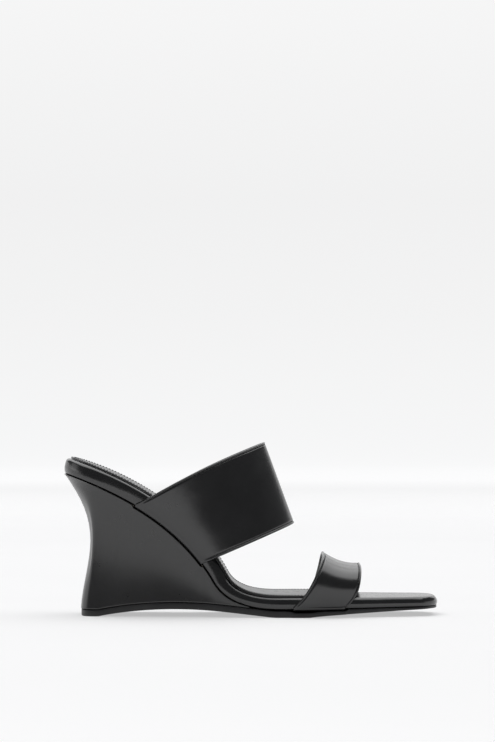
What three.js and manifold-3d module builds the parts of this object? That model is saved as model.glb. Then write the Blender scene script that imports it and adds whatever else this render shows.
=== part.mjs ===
// Wedge mule sandal for the right foot, in millimetres.
// +X runs from the heel to the toe, +Y to the inner (medial) side of the foot, +Z up.
// The origin is on the ground, under the middle of the sandal's length.
//
// A leather-wrapped footbed (fibreboard, steel shank and foam in a leather cover, with a stitched
// sock on top) is nailed and screwed through its board to a moulded wedge, which is wrapped in
// leather too. Two leather straps are turned in under the footbed's edge. One rubber outsole runs
// from the heel to the toe.

import * as THREE from "three";
import { mergeVertices } from "three/addons/utils/BufferGeometryUtils.js";
import Module from "manifold-3d";

const { clamp, degToRad, lerp, smoothstep } = THREE.MathUtils;
const V2 = (x, y) => new THREE.Vector2(x, y);
const V3 = (x, y, z) => new THREE.Vector3(x, y, z);

// ---------------------------------------------------------------- driving dimensions

const shoeLength = 228; // footbed, from the back of the heel to the toe, seen from above
const seatHeight = 86.4; // underside of the footbed above the ground, at the back of the heel
const seatPitch = degToRad(16.5); // fall of the heel seat towards the arch
const archRun = 92; // from the back of the heel to the steepest point of the arch
const archHeight = 21; // underside of the footbed there
const archSlope = degToRad(60); // fall of the footbed there
const ballRun = 131; // from the back of the heel to where the forefoot levels out
const soleAtBall = 5; // underside of the footbed above the ground, at the ball
const toeRise = 1; // further rise of the underside, from the ball to the toe

const seatHalf = 27; // half width of the heel seat
const seatRound = 36; // length of the seat's rounded end
const lateralWaist = 26; // outer edge at the waist, from the centre line
const medialWaist = 21.5; // inner edge at the waist
const lateralBall = 38; // outer edge at the ball
const medialBall = 38; // inner edge at the ball
const toeHalf = 28; // half width where the square toe begins
const toeDepth = 34; // length of the square toe
const toeShift = 3.5; // the toe's middle lies this far to the inner side
const toeSquareness = 3; // exponent of the toe's superellipse

const seatThickness = 9.5; // wrapped footbed, at the heel and through the arch
const ballThickness = 7; // at the ball
const toeThickness = 5.8; // at the toe
const leather = 0.9; // every cover and strap leather
const clearance = 0.3; // between touching pieces
const plyGap = 0.2; // between the plies of a strap
const marginWidth = 11; // leather turned in under the footbed

const boardSeat = 2.4; // insole board under the heel
const boardToe = 1.6; // insole board at the toe
const sockThickness = 1.1;
const sockInset = 3; // from the footbed's edge to the sock's edge
const sockEnd = 193; // station of the sock's front edge, under the front strap
const sockCorner = 9; // radius of its front corners
const threadWidth = 0.5;
const threadHeight = 0.3;
const sockSeam = 2; // from the sock's edge to its stitching

const heelUndercut = 11; // the wedge's foot stands this far ahead of the back of the seat
const heelFootHalf = 24; // half width of the wedge's squared foot
const heelSquareness = 5; // exponent of its superellipse
const backWaist = 11.2; // how far the wedge's back curves in, halfway up
const sideWaist = 4.6; // how far its sides curve in
const wedgeInset = 0.6; // the wedge's top edge lies inside the footbed's edge

const outsoleThickness = 4; // under the wedge
const outsoleBevel = 0.8;
const archLift = 4.4; // the outsole's underside rises this far between heel and ball
const heelContact = 11; // length of the flat that stands on the ground at the heel
const ballContactStart = 128; // the flat at the ball, from the back of the heel
const ballContactEnd = 150;
const toeSpring = 4.6; // underside of the outsole above the ground, at the toe

const shank = { start: 31, end: 138, half: 5.5, from: 0.5, thickness: 1.2 };
const rivetStations = [42, 126];
const rivet = { shaft: 1.5, head: 2.8, headHeight: 0.5 };
const nail = { shaft: 0.9, head: 2.2, headHeight: 0.7, length: 13 };
const screw = { shaft: 1.7, head: 3.6, headHeight: 1, length: 17 };
const nailStations = [21, 36, 96]; // a pair of nails at each
const screwStation = 25;

// A strap's feet lie along the footbed's edge, from the rear to the front station on each side.
// Its crest stands at a reach and a lean (above the horizontal) from the feet.
const rearStrap = {
  lateral: { rear: 48.5, front: 102.5 },
  medial: { rear: 50, front: 104 },
  rearCrest: { reach: 83.3, lean: degToRad(26.2) },
  frontCrest: { reach: 57.2, lean: degToRad(23.6) },
  camber: { rear: 1.8, front: 0 }, // how far each edge bows backwards between foot and crest
  crestShift: 3, // the crest lies to the inner side of the centre line
  sag: 0, // hollow of the crest line between the strap's two edges
  fullness: { rear: 6, front: 8.5 }, // how far its sides bulge at each edge
  swellRise: 1, // above 1 the bulge lies higher up
  side: 2.2, // superellipse exponents: across, and up
  crown: 2.4,
};
const frontStrap = {
  lateral: { rear: 168.5, front: 199.5 },
  medial: { rear: 176, front: 206 },
  rearCrest: { reach: 32.6, lean: degToRad(66.3) },
  frontCrest: { reach: 23.2, lean: degToRad(72) },
  camber: { rear: -2.1, front: -2.5 },
  crestShift: 4,
  sag: 2.6,
  fullness: { rear: 6, front: 6 },
  swellRise: 2,
  side: 5,
  crown: 5,
};
const liningThickness = 0.7;
const tapeThickness = 0.4;
const tapeInset = 5; // from the strap's edge to the reinforcing tape
const strapSeam = 1.7; // from the strap's edge to its stitching

const wedgeLevels = 5;
const strapRows = 5;
const bendStart = 96; // stations between which the points lie closer together
const bendEnd = 156;

// ---------------------------------------------------------------- solids and meshes

const wasm = await Module();
wasm.setup();

function solidOf(geometry) {
  const bare = new THREE.BufferGeometry();
  bare.setAttribute("position", geometry.getAttribute("position"));
  bare.setIndex(geometry.index);
  const merged = mergeVertices(bare, 1e-4);
  return new wasm.Manifold(
    new wasm.Mesh({
      numProp: 3,
      vertProperties: merged.attributes.position.array,
      triVerts: new Uint32Array(merged.index.array),
    }),
  );
}

function geometryOf(solid) {
  const mesh = solid.getMesh();
  const geometry = new THREE.BufferGeometry();
  geometry.setAttribute("position", new THREE.BufferAttribute(mesh.vertProperties, 3));
  geometry.setIndex(new THREE.BufferAttribute(mesh.triVerts, 1));
  geometry.computeVertexNormals();
  return geometry;
}

const cut = (solid, tools) => tools.reduce((left, tool) => left.subtract(tool), solid);

// Joins a stack of closed rings into a solid. Each ring runs counter-clockwise when seen from the
// last one, and holds an even number of points. The ends are closed rung by rung, so that they
// follow a surface that bends along its length.
function loft(rings) {
  const count = rings[0].length;
  const position = rings.flat().flatMap((p) => [p.x, p.y, p.z]);
  const index = [];
  const quad = (a, b, c, d) => index.push(a, b, c, a, c, d);
  for (let k = 0; k + 1 < rings.length; k++) {
    for (let j = 0; j < count; j++) {
      const next = (j + 1) % count;
      const low = k * count;
      const high = low + count;
      quad(low + j, low + next, high + next, high + j);
    }
  }
  const top = (rings.length - 1) * count;
  for (let j = 0; j + 1 < count / 2; j++) {
    const across = count - 1 - j;
    quad(top + j, top + j + 1, top + across - 1, top + across);
    quad(j, across, across - 1, j + 1);
  }
  const geometry = new THREE.BufferGeometry();
  geometry.setAttribute("position", new THREE.Float32BufferAttribute(position, 3));
  geometry.setIndex(index);
  return solidOf(geometry);
}

// ---------------------------------------------------------------- the footbed's frame

const heelX = -shoeLength / 2;
const falling = (angle, length) => V2(Math.cos(angle) * length, -Math.sin(angle) * length);

// The underside of the footbed, seen from the side.
function makeProfile() {
  const back = V2(heelX, seatHeight);
  const arch = V2(heelX + archRun, archHeight);
  const ball = V2(heelX + ballRun, soleAtBall);
  const toe = V2(heelX + shoeLength, soleAtBall + toeRise);
  const level = V2(15, 0);
  const path = new THREE.CurvePath();
  path.add(
    new THREE.CubicBezierCurve(
      back,
      back.clone().add(falling(seatPitch, 34)),
      arch.clone().sub(falling(archSlope, 40)),
      arch,
    ),
  );
  path.add(
    new THREE.CubicBezierCurve(
      arch,
      arch.clone().add(falling(archSlope, 15)),
      ball.clone().sub(level),
      ball,
    ),
  );
  path.add(new THREE.QuadraticBezierCurve(ball, ball.clone().add(level), toe));
  return path;
}

const profile = makeProfile();
const bedLength = profile.getLength();

// A station's place and direction on the underside.
function stationAt(s) {
  const t = clamp(s / bedLength, 0, 1);
  const along = profile.getTangent(t);
  const place = profile.getPoint(t).addScaledVector(along, s - t * bedLength);
  return { place, along };
}

// The point at station s, y across, and h above the footbed's underside.
function bed(s, y, h) {
  const { place, along } = stationAt(s);
  return V3(place.x - along.y * h, y, place.y + along.x * h);
}

function stationOfX(x) {
  let low = 0;
  let high = bedLength;
  for (let k = 0; k < 40; k++) {
    const middle = (low + high) / 2;
    if (stationAt(middle).place.x < x) low = middle;
    else high = middle;
  }
  return (low + high) / 2;
}

const undersideZ = (x) => stationAt(stationOfX(x)).place.y;

const archStart = 60; // stations between which the footbed thins towards the ball
const archEnd = 150;
function thickness(s) {
  const arch = lerp(seatThickness, ballThickness, smoothstep(s, archStart, archEnd));
  return lerp(arch, toeThickness, smoothstep(s, archEnd, bedLength));
}
const boardThickness = (s) => lerp(boardSeat, boardToe, smoothstep(s, archStart, archEnd));

// ---------------------------------------------------------------- outlines

// One side of the footbed's outline, as (station, y), from the heel's middle to the toe's middle.
function makeSide(name, sign, middle) {
  const points = [];
  for (const angle of [0, 30, 60, 90]) {
    const a = degToRad(angle);
    points.push(V2(seatRound * (1 - Math.cos(a)), sign * seatHalf * Math.sin(a)));
  }
  for (const [s, y] of middle) points.push(V2(s, sign * y));
  const power = 2 / toeSquareness;
  for (const angle of [62, 45, 28, 13, 0]) {
    const a = degToRad(angle);
    const ahead = toeDepth * (1 - Math.cos(a) ** power);
    points.push(V2(bedLength - ahead, toeShift + sign * toeHalf * Math.sin(a) ** power));
  }
  return { name, sign, dense: new THREE.SplineCurve(points).getSpacedPoints(400) };
}

const lateral = makeSide("lateral", -1, [
  [72, lateralWaist],
  [112, lateralWaist + 3],
  [146, lateralBall - 1.5],
  [172, lateralBall],
  [bedLength - 54, lateralBall - 5.3],
  [bedLength - 32, lateralBall - 11.5],
]);
const medial = makeSide("medial", 1, [
  [60, medialWaist + 2],
  [88, medialWaist],
  [122, medialWaist + 3.5],
  [154, medialBall - 3.5],
  [180, medialBall],
  [bedLength - 52, medialBall - 2.5],
  [bedLength - 30, medialBall - 6],
]);

// The y of the footbed's edge at a station.
function edgeAt(side, s) {
  const k = side.dense.findIndex((p) => p.x > s);
  const [a, b] = [side.dense[k - 1], side.dense[k]];
  return lerp(a.y, b.y, (s - a.x) / (b.x - a.x));
}

// A side of the outline moved inwards. With an end, it stops at that station, and with a corner
// too it turns in to the centre line there on that radius.
function insetSide(side, inset, end, corner) {
  const { dense, sign } = side;
  const last = dense.length - 1;
  const moved = dense.map((p, k) => {
    if (k === 0) return V2(inset, 0);
    if (k === last) return V2(p.x - inset, p.y);
    const along = dense[k + 1].clone().sub(dense[k - 1]).normalize();
    return V2(p.x + sign * along.y * inset, p.y - sign * along.x * inset);
  });
  const clear = moved.filter((p) => dense.every((q) => p.distanceTo(q) > inset - 0.05));
  if (end === undefined) return clear;
  const stop = corner === undefined ? end : end - corner;
  const k = clear.findIndex((p) => p.x > stop);
  const [a, b] = [clear[k - 1], clear[k]];
  const edge = a.clone().lerp(b, (stop - a.x) / (b.x - a.x));
  const kept = [...clear.slice(0, k), edge];
  if (corner === undefined) return kept;
  for (const angle of [25, 50, 75, 90]) {
    const t = degToRad(angle);
    const inwards = sign * corner * (1 - Math.cos(t));
    kept.push(V2(stop + corner * Math.sin(t), edge.y - inwards));
  }
  return kept;
}

// The y of a line at a station.
function acrossAt(points, s) {
  const k = Math.max(1, points.findIndex((p) => p.x >= s - 1e-6));
  const [a, b] = [points[k - 1], points[k]];
  return lerp(a.y, b.y, clamp((s - a.x) / (b.x - a.x), 0, 1));
}

// Stations at which every piece of the footbed has its points, closer together in the bend.
const stops = [];
for (let s = seatRound + 1; s < bedLength; s += s > bendStart && s < bendEnd ? 5 : 10) stops.push(s);
const powered = (angle, exponent) => Math.cos(degToRad(angle)) ** (2 / exponent);

// A closed outline: the lateral side from heel to toe, then the medial side back. Points that face
// each other share a station.
function outline(inset, { end, corner } = {}) {
  const last = end === undefined ? bedLength - inset : end;
  const heel = [9, 27, 45, 63, 81].map((angle) => {
    return lerp(seatRound, inset, Math.cos(degToRad(angle)));
  });
  let front = [last];
  let round = 1;
  if (end === undefined) {
    round = toeDepth - inset;
    front = [80, 62, 44, 27, 10].map((angle) => {
      return last - round * (1 - powered(angle, toeSquareness));
    });
  } else if (corner !== undefined) {
    round = corner;
    front = [0, 25, 50, 75, 90].map((angle) => last - round * (1 - Math.sin(degToRad(angle))));
  }
  const middle = stops.filter((s) => s < last - round - 1);
  const all = [...heel, ...middle, ...front];
  const half = (side) => {
    const points = insetSide(side, inset, end, corner);
    return all.map((s) => V2(s, acrossAt(points, s)));
  };
  return [...half(lateral), ...half(medial).reverse()];
}

// A slab that lies along the footbed. Each layer has an inset and a height at each station.
function slab(layers, options) {
  return loft(
    layers.map(([inset, height]) => {
      const at = typeof height === "function" ? height : () => height;
      return outline(inset, options).map((p) => bed(p.x, p.y, at(p.x)));
    }),
  );
}

// A bar that lies along the footbed between two stations, y and h given for each of them.
function bar(start, end, steps, yRange, hRange) {
  const rings = [];
  for (let k = 0; k <= steps; k++) {
    const s = lerp(start, end, k / steps);
    const [y0, y1] = yRange(s);
    const [h0, h1] = hRange(s);
    rings.push([bed(s, y0, h0), bed(s, y1, h0), bed(s, y1, h1), bed(s, y0, h1)]);
  }
  return loft(rings);
}

// ---------------------------------------------------------------- the ground side

const heelFootX = heelX + heelUndercut;

// The outsole's underside: flat at the heel and the ball, arched between, and sprung at the toe.
function groundZ(x) {
  const archBegins = heelFootX + heelContact;
  const ballBegins = heelX + ballContactStart;
  const ballEnds = heelX + ballContactEnd;
  if (x < ballBegins) {
    const t = clamp((x - archBegins) / (ballBegins - archBegins), 0, 1);
    return archLift * Math.sin(Math.PI * t ** 0.85);
  }
  const t = clamp((x - ballEnds) / (heelX + shoeLength - ballEnds), 0, 1);
  return toeSpring * t ** 0.75;
}

const soleTopZ = (x) => Math.min(groundZ(x) + outsoleThickness, undersideZ(x) - clearance);

// The wedge ends where it is half a millimetre high.
function findWedgeEnd() {
  const height = (s) => {
    const { place } = stationAt(s);
    return place.y - 2 * clearance - groundZ(place.x) - outsoleThickness;
  };
  let s = archStart;
  while (height(s) > 0.5) s += 0.25;
  return s;
}
const wedgeEnd = findWedgeEnd();

// Where a point of the footbed's outline comes down to on the outsole: straight below, except that
// the heel's rounded end becomes a squared foot that stands further forward.
function footPoint(s, y) {
  const x = stationAt(s).place.x;
  const sign = Math.sign(y);
  if (s < seatRound) {
    const angle = Math.acos(clamp(1 - s / seatRound, -1, 1));
    const power = 2 / heelSquareness;
    const depth = stationAt(seatRound).place.x - heelFootX;
    const back = heelFootX + depth * (1 - Math.cos(angle) ** power);
    return V2(back, sign * heelFootHalf * Math.sin(angle) ** power);
  }
  const edge = Math.abs(edgeAt(y < 0 ? lateral : medial, Math.min(s, bedLength - toeDepth)));
  const narrow = Math.min(edge, heelFootHalf) / edge;
  return V2(x, y * lerp(narrow, 1, smoothstep(s, seatRound, wedgeEnd)));
}

// Outward directions, in plan, of the points of a ring. Where its front is cut off square, the
// corners there face sideways.
function ringNormals(ring, square) {
  const half = ring.length / 2;
  return ring.map((_, j) => {
    const atCorner = square && (j === half - 1 || j === half);
    const before = ring[atCorner && j === half ? j : (j + ring.length - 1) % ring.length];
    const after = ring[atCorner && j < half ? j : (j + 1) % ring.length];
    return V2(after.y - before.y, before.x - after.x).normalize();
  });
}

// Rings of the wedge from its foot up, moved inwards by inset. Levels run from 0 at the outsole to
// 1 at the footbed, and may run past both.
function wedgeRings(inset, levels) {
  const end = wedgeEnd - inset * 4;
  const top = outline(wedgeInset + inset, { end });
  const low = outline(wedgeInset, { end }).map((p) => footPoint(p.x, p.y));
  const normals = ringNormals(low, true);
  return levels.map((v) =>
    top.map((p, j) => {
      const normal = normals[j];
      const high = bed(p.x, p.y, -clearance);
      const x = low[j].x - normal.x * inset;
      const foot = V3(x, low[j].y - normal.y * inset, soleTopZ(x) + clearance);
      const point = foot.clone().lerp(high, v);
      const level = clamp(v, 0, 1);
      const back = backWaist * (1 - smoothstep(p.x, 0, seatRound));
      const side = sideWaist * clamp((high.z - foot.z) / seatHeight, 0, 1);
      point.x -= normal.x * back * Math.sin(Math.PI * level ** 1.3);
      point.y -= normal.y * side * Math.sin(Math.PI * level);
      return point;
    }),
  );
}

const levels = Array.from({ length: wedgeLevels + 1 }, (_, k) => k / wedgeLevels);

// ---------------------------------------------------------------- straps

// Columns across a strap, as angles: negative ones lie under the footbed, 0 is the foot of its
// wall, and 90 is the crest.
const turnedIn = [-2, -1, -0.5];
const rising = [0, 3, 6, 11, 19, 27, 34, 41, 48, 55, 62, 69, 76, 82, 87];

// An end of the strap's crest, as (x, z).
function crestEnd(strap, end) {
  const { reach, lean } = strap[`${end}Crest`];
  const from = bed(strap.lateral[end], 0, leather).lerp(bed(strap.medial[end], 0, leather), 0.5);
  return V2(from.x + reach * Math.cos(lean), from.z + reach * Math.sin(lean));
}

// A point of the strap's inner face. b runs from its rear edge, 0, to its front edge, 1.
function strapPoint(strap, side, angle, b) {
  const s = lerp(strap[side.name].rear, strap[side.name].front, b);
  const edge = edgeAt(side, s);
  const { sign } = side;
  if (angle <= -2) return bed(s, edge - sign * marginWidth, -clearance);
  if (angle <= -1) return bed(s, edge - sign * (leather + clearance), -clearance);
  if (angle < 0) return bed(s, edge - sign * leather * 0.1, leather * 0.1 - clearance);
  const foot = bed(s, edge + sign * clearance, leather);
  const crest = crestEnd(strap, "rear").lerp(crestEnd(strap, "front"), b);
  crest.y -= strap.sag * 4 * b * (1 - b);
  const rise = Math.sin(degToRad(angle));
  const lean = Math.atan2(crest.y - foot.z, crest.x - foot.x);
  const bow = lerp(strap.camber.rear, strap.camber.front, b) * Math.sin(Math.PI * rise);
  const full = lerp(strap.fullness.rear, strap.fullness.front, b);
  const swell = full * Math.sin(Math.PI * rise ** strap.swellRise) * (1 - rise);
  const shape = (1 - Math.min(rise, 1) ** strap.crown) ** (1 / strap.side);
  const y = strap.crestShift + (foot.y - strap.crestShift) * shape + sign * swell;
  const x = lerp(foot.x, crest.x, rise) - bow * Math.sin(lean);
  return V3(x, y, lerp(foot.z, crest.y, rise) + bow * Math.cos(lean));
}

// One ply of a strap: a sheet between two offsets from the inner face. An offset may depend on the
// column's angle. Edge insets are distances from the strap's two edges.
function strapPly(strap, columns, offsets, { rearInset = 0, frontInset = 0, rows = strapRows } = {}) {
  const width = strap.lateral.front - strap.lateral.rear;
  const sides = [
    ...columns.map((angle) => [lateral, angle]),
    [lateral, 90],
    ...[...columns].reverse().map((angle) => [medial, angle]),
  ];
  const bs = Array.from({ length: rows + 1 }, (_, k) => {
    return lerp(rearInset / width, 1 - frontInset / width, k / rows);
  });
  const grid = bs.map((b) => sides.map(([side, angle]) => strapPoint(strap, side, angle, b)));
  const faces = offsets.map((offset) =>
    grid.map((row, k) =>
      row.map((point, j) => {
        const along = row[Math.min(j + 1, row.length - 1)].clone();
        along.sub(row[Math.max(j - 1, 0)]);
        const down = grid[Math.min(k + 1, rows)][j].clone();
        down.sub(grid[Math.max(k - 1, 0)][j]);
        const out = down.cross(along).normalize();
        const distance = typeof offset === "function" ? offset(sides[j][1]) : offset;
        return point.clone().addScaledVector(out, distance);
      }),
    ),
  );
  const [inner, outer] = faces;
  return loft(inner.map((row, k) => [...row, ...[...outer[k]].reverse()]));
}

const tapeFrom = liningThickness + plyGap;
const leatherFrom = tapeFrom + tapeThickness + plyGap;
const leatherInner = (angle) => leatherFrom * smoothstep(angle, 0, 5);
const leatherOuter = (angle) => leatherInner(angle) + leather;

function makeStrap(strap) {
  const lined = rising.filter((angle) => angle > 5);
  const taped = rising.filter((angle) => angle > 8);
  const seamed = rising.filter((angle) => angle > 2);
  const width = strap.lateral.front - strap.lateral.rear;
  const seam = [(a) => leatherOuter(a) + plyGap, (a) => leatherOuter(a) + plyGap + threadHeight];
  const far = width - strapSeam - threadWidth;
  return {
    leather: strapPly(strap, [...turnedIn, ...rising], [leatherInner, leatherOuter]),
    tape: strapPly(strap, taped, [tapeFrom, tapeFrom + tapeThickness], {
      rearInset: tapeInset,
      frontInset: tapeInset,
    }),
    lining: strapPly(strap, lined, [0, liningThickness]),
    rearSeam: strapPly(strap, seamed, seam, { rearInset: strapSeam, frontInset: far, rows: 1 }),
    frontSeam: strapPly(strap, seamed, seam, { rearInset: far, frontInset: strapSeam, rows: 1 }),
  };
}

// The room that a strap's turned-in ends take in what lies under the footbed.
function marginPockets(strap) {
  return [lateral, medial].map((side) => {
    const { rear, front } = strap[side.name];
    const { sign } = side;
    const deep = -(clearance + leather + clearance);
    return bar(
      rear - 2 * clearance,
      front + 2 * clearance,
      10,
      (s) => {
        const ends = [edgeAt(side, s) - sign * (marginWidth + clearance), edgeAt(side, s) + sign * 4];
        return ends.sort((a, b) => a - b);
      },
      () => [deep, clearance],
    );
  });
}

// ---------------------------------------------------------------- fasteners

// The height of the insole board's upper face above the footbed's underside.
const boardFrom = leather + clearance;
const boardTop = (s) => boardFrom + boardThickness(s);

// A pin is set square to the footbed, at a height above its underside. Its profile runs from its
// point to its head, as (radius, height).
function pin({ station, across = 0 }, height, profilePoints) {
  const geometry = new THREE.LatheGeometry(profilePoints.map(([r, z]) => V2(r, z)), 10);
  geometry.rotateX(Math.PI / 2);
  const { along } = stationAt(station);
  geometry.rotateY(-Math.atan2(along.y, along.x));
  const place = bed(station, across, height);
  geometry.translate(place.x, place.y, place.z);
  return solidOf(geometry);
}

// A nail or screw whose head is flush with the board. Grown by the clearance, it is its own hole.
function headed(place, { shaft, head, headHeight, length }, grow = 0) {
  return pin(place, boardTop(place.station) - headHeight, [
    [0, -length - grow],
    [shaft + grow, -length - grow],
    [shaft + grow, -grow],
    [head + grow, -grow],
    [head + grow, headHeight + grow],
    [0, headHeight + grow],
  ]);
}

// A rivet through the shank and the board, headed at both ends.
function riveted(station, grow = 0) {
  const { shaft, head, headHeight } = rivet;
  const low = shank.from - clearance;
  const reach = boardTop(station) + clearance - low;
  return pin({ station }, low, [
    [0, -headHeight - grow],
    [head + grow, -headHeight - grow],
    [head + grow, grow],
    [shaft + grow, grow],
    [shaft + grow, reach - grow],
    [head + grow, reach - grow],
    [head + grow, reach + headHeight + grow],
    [0, reach + headHeight + grow],
  ]);
}


// The nails stand halfway between the shank and the turned-in leather.
const nailPlaces = nailStations.flatMap((station) =>
  [lateral, medial].map((side) => {
    const free = edgeAt(side, station) - side.sign * marginWidth;
    return { station, across: lerp(side.sign * shank.half, free, 0.5) };
  }),
);
const screwPlace = { station: screwStation };

// Fresh holes for every piece that the fasteners pass through.
const headedHoles = () => [
  ...nailPlaces.map((place) => headed(place, nail, clearance)),
  headed(screwPlace, screw, clearance),
];
const rivetHoles = () => rivetStations.map((station) => riveted(station, clearance));

// ---------------------------------------------------------------- the footbed's pieces

function makeFootbedWrap() {
  const outside = slab([
    [0.8, 0],
    [0, 0.8],
    [0, (s) => thickness(s) - 2.8],
    [1.2, (s) => thickness(s) - 0.8],
    [3.6, thickness],
  ]);
  const inside = slab([
    [leather, leather],
    [leather, (s) => thickness(s) - 3.1],
    [leather + 1, (s) => thickness(s) - 1.7],
    [3.8, (s) => thickness(s) - leather],
  ]);
  const opening = slab([
    [marginWidth, -1],
    [marginWidth, leather + 0.2],
  ]);
  return cut(outside, [inside, opening]);
}

function makeFoam() {
  const low = (s) => boardTop(s) + clearance;
  const high = (s) => thickness(s) - leather - clearance;
  const edge = leather + clearance;
  const foam = slab([
    [edge + 0.9, low],
    [edge + 1.2, (s) => lerp(low(s), high(s), 0.3)],
    [edge + 3.2, high],
  ]);
  return cut(foam, rivetHoles());
}

function shankBar(grow) {
  const { start, end, half, from } = shank;
  return bar(
    start - grow,
    end + grow,
    14,
    () => [-half - grow, half + grow],
    () => [from - grow, from + shank.thickness + grow],
  );
}

function makeShank() {
  return cut(shankBar(0), rivetHoles());
}

function makeBoard() {
  const board = slab([
    [boardFrom, boardFrom],
    [boardFrom, boardTop],
  ]);
  return cut(board, [shankBar(clearance), ...headedHoles(), ...rivetHoles()]);
}

// Levels the hollow between the turned-in edges of the leather.
function makeFiller() {
  const filler = slab([
    [marginWidth + clearance, 0],
    [marginWidth + clearance, leather],
  ]);
  return cut(filler, [shankBar(clearance), ...headedHoles(), ...rivetHoles()]);
}

// A slab on top of the footbed, as layers of (inset from the sock's edge, height).
function onTop(layers) {
  const rings = layers.map(([inset, height]) => {
    const end = sockEnd - inset;
    const shape = outline(sockInset + inset, { end, corner: sockCorner - inset });
    return shape.map((p) => bed(p.x, p.y, thickness(p.x) + height));
  });
  return loft(rings);
}

const sockFrom = clearance;
const sockTop = sockFrom + sockThickness;

function makeSock() {
  return onTop([
    [0.2, sockFrom],
    [0, sockFrom + 0.3],
    [0, sockTop - 0.4],
    [0.4, sockTop],
  ]);
}

function makeSockStitching() {
  const from = sockTop + clearance;
  const outer = onTop([
    [sockSeam, from],
    [sockSeam, from + threadHeight],
  ]);
  const inner = onTop([
    [sockSeam + threadWidth, from - 1],
    [sockSeam + threadWidth, from + 1],
  ]);
  return cut(outer, [inner]);
}

// ---------------------------------------------------------------- the wedge and the outsole

function makeWedgeCover() {
  const outside = loft(wedgeRings(0, levels));
  const inside = loft(wedgeRings(leather, [-0.3, ...levels, 1.3]));
  return cut(outside, [inside, ...marginPockets(rearStrap)]);
}

function makeWedgeCore() {
  const core = loft(wedgeRings(leather + clearance, levels));
  return cut(core, [...marginPockets(rearStrap), ...headedHoles(), ...rivetHoles()]);
}

function makeOutsole() {
  const ring = outline(wedgeInset).map((p) => footPoint(p.x, p.y));
  const normals = ringNormals(ring, false);
  const layer = (inset, up) =>
    ring.map((p, j) => {
      const z = lerp(groundZ(p.x), soleTopZ(p.x), up);
      return V3(p.x - normals[j].x * inset, p.y - normals[j].y * inset, z);
    });
  const sole = loft([
    layer(outsoleBevel, 0),
    layer(0, 0.25),
    layer(0, 0.75),
    layer(outsoleBevel, 1),
  ]);
  return cut(sole, marginPockets(frontStrap));
}

// ---------------------------------------------------------------- assembly

function addMesh(parent, name, solid, look) {
  const material = new THREE.MeshStandardMaterial(look);
  const mesh = new THREE.Mesh(geometryOf(solid), material);
  mesh.name = name;
  parent.add(mesh);
}

const calf = { color: 0x17171a, roughness: 0.4 };
const liningLeather = { color: 0x1c1a19, roughness: 0.7 };
const thread = { color: 0x101012, roughness: 0.6 };
const tape = { color: 0xcfc8b8, roughness: 0.9 };
const rubber = { color: 0x141415, roughness: 0.55 };
const plastic = { color: 0x6f6a60, roughness: 0.8 };
const fibreboard = { color: 0x7a5638, roughness: 0.9 };
const foam = { color: 0xd8d2c0, roughness: 1 };
const cork = { color: 0x9a7448, roughness: 0.95 };
const steel = { color: 0x9a9ca0, roughness: 0.4, metalness: 1 };

const shoe = new THREE.Group();
shoe.name = "wedge_mule";

addMesh(shoe, "outsole", makeOutsole(), rubber);
addMesh(shoe, "wedge_core", makeWedgeCore(), plastic);
addMesh(shoe, "wedge_cover", makeWedgeCover(), calf);
addMesh(shoe, "footbed_wrap", makeFootbedWrap(), calf);
addMesh(shoe, "footbed_foam", makeFoam(), foam);
addMesh(shoe, "insole_board", makeBoard(), fibreboard);
addMesh(shoe, "bottom_filler", makeFiller(), cork);
addMesh(shoe, "shank", makeShank(), steel);
rivetStations.forEach((station, k) => {
  addMesh(shoe, `shank_rivet_${k + 1}`, riveted(station), steel);
});
nailPlaces.forEach((place, k) => {
  addMesh(shoe, `wedge_nail_${k + 1}`, headed(place, nail), steel);
});
addMesh(shoe, "wedge_screw", headed(screwPlace, screw), steel);
addMesh(shoe, "sock", makeSock(), calf);
addMesh(shoe, "sock_stitching", makeSockStitching(), thread);
for (const [name, strap] of Object.entries({ rear: rearStrap, front: frontStrap })) {
  const pieces = makeStrap(strap);
  addMesh(shoe, `${name}_strap_outer`, pieces.leather, calf);
  addMesh(shoe, `${name}_strap_tape`, pieces.tape, tape);
  addMesh(shoe, `${name}_strap_lining`, pieces.lining, liningLeather);
  addMesh(shoe, `${name}_strap_rear_seam`, pieces.rearSeam, thread);
  addMesh(shoe, `${name}_strap_front_seam`, pieces.frontSeam, thread);
}

export default shoe;
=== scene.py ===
"""Wedge mule for the right foot: leather straps, padded footbed, covered wedge and rubber outsole.

Shapes are worked out in millimetres and turned into metres when a piece is finished. X runs from
the heel to the toe, Y to the inner side of the foot, Z up. A "station" is a distance along the
curved underside of the footbed, from the back of the heel.
"""

from bisect import bisect_right
from math import acos, atan2, cos, exp, pi, radians, sin

import bmesh
import bpy
from bpy.props import FloatProperty, FloatVectorProperty, PointerProperty
from bpy.types import Operator, Panel, PropertyGroup
from mathutils import Matrix, Vector
from mathutils.geometry import interpolate_bezier
from mathutils.kdtree import KDTree


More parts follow.
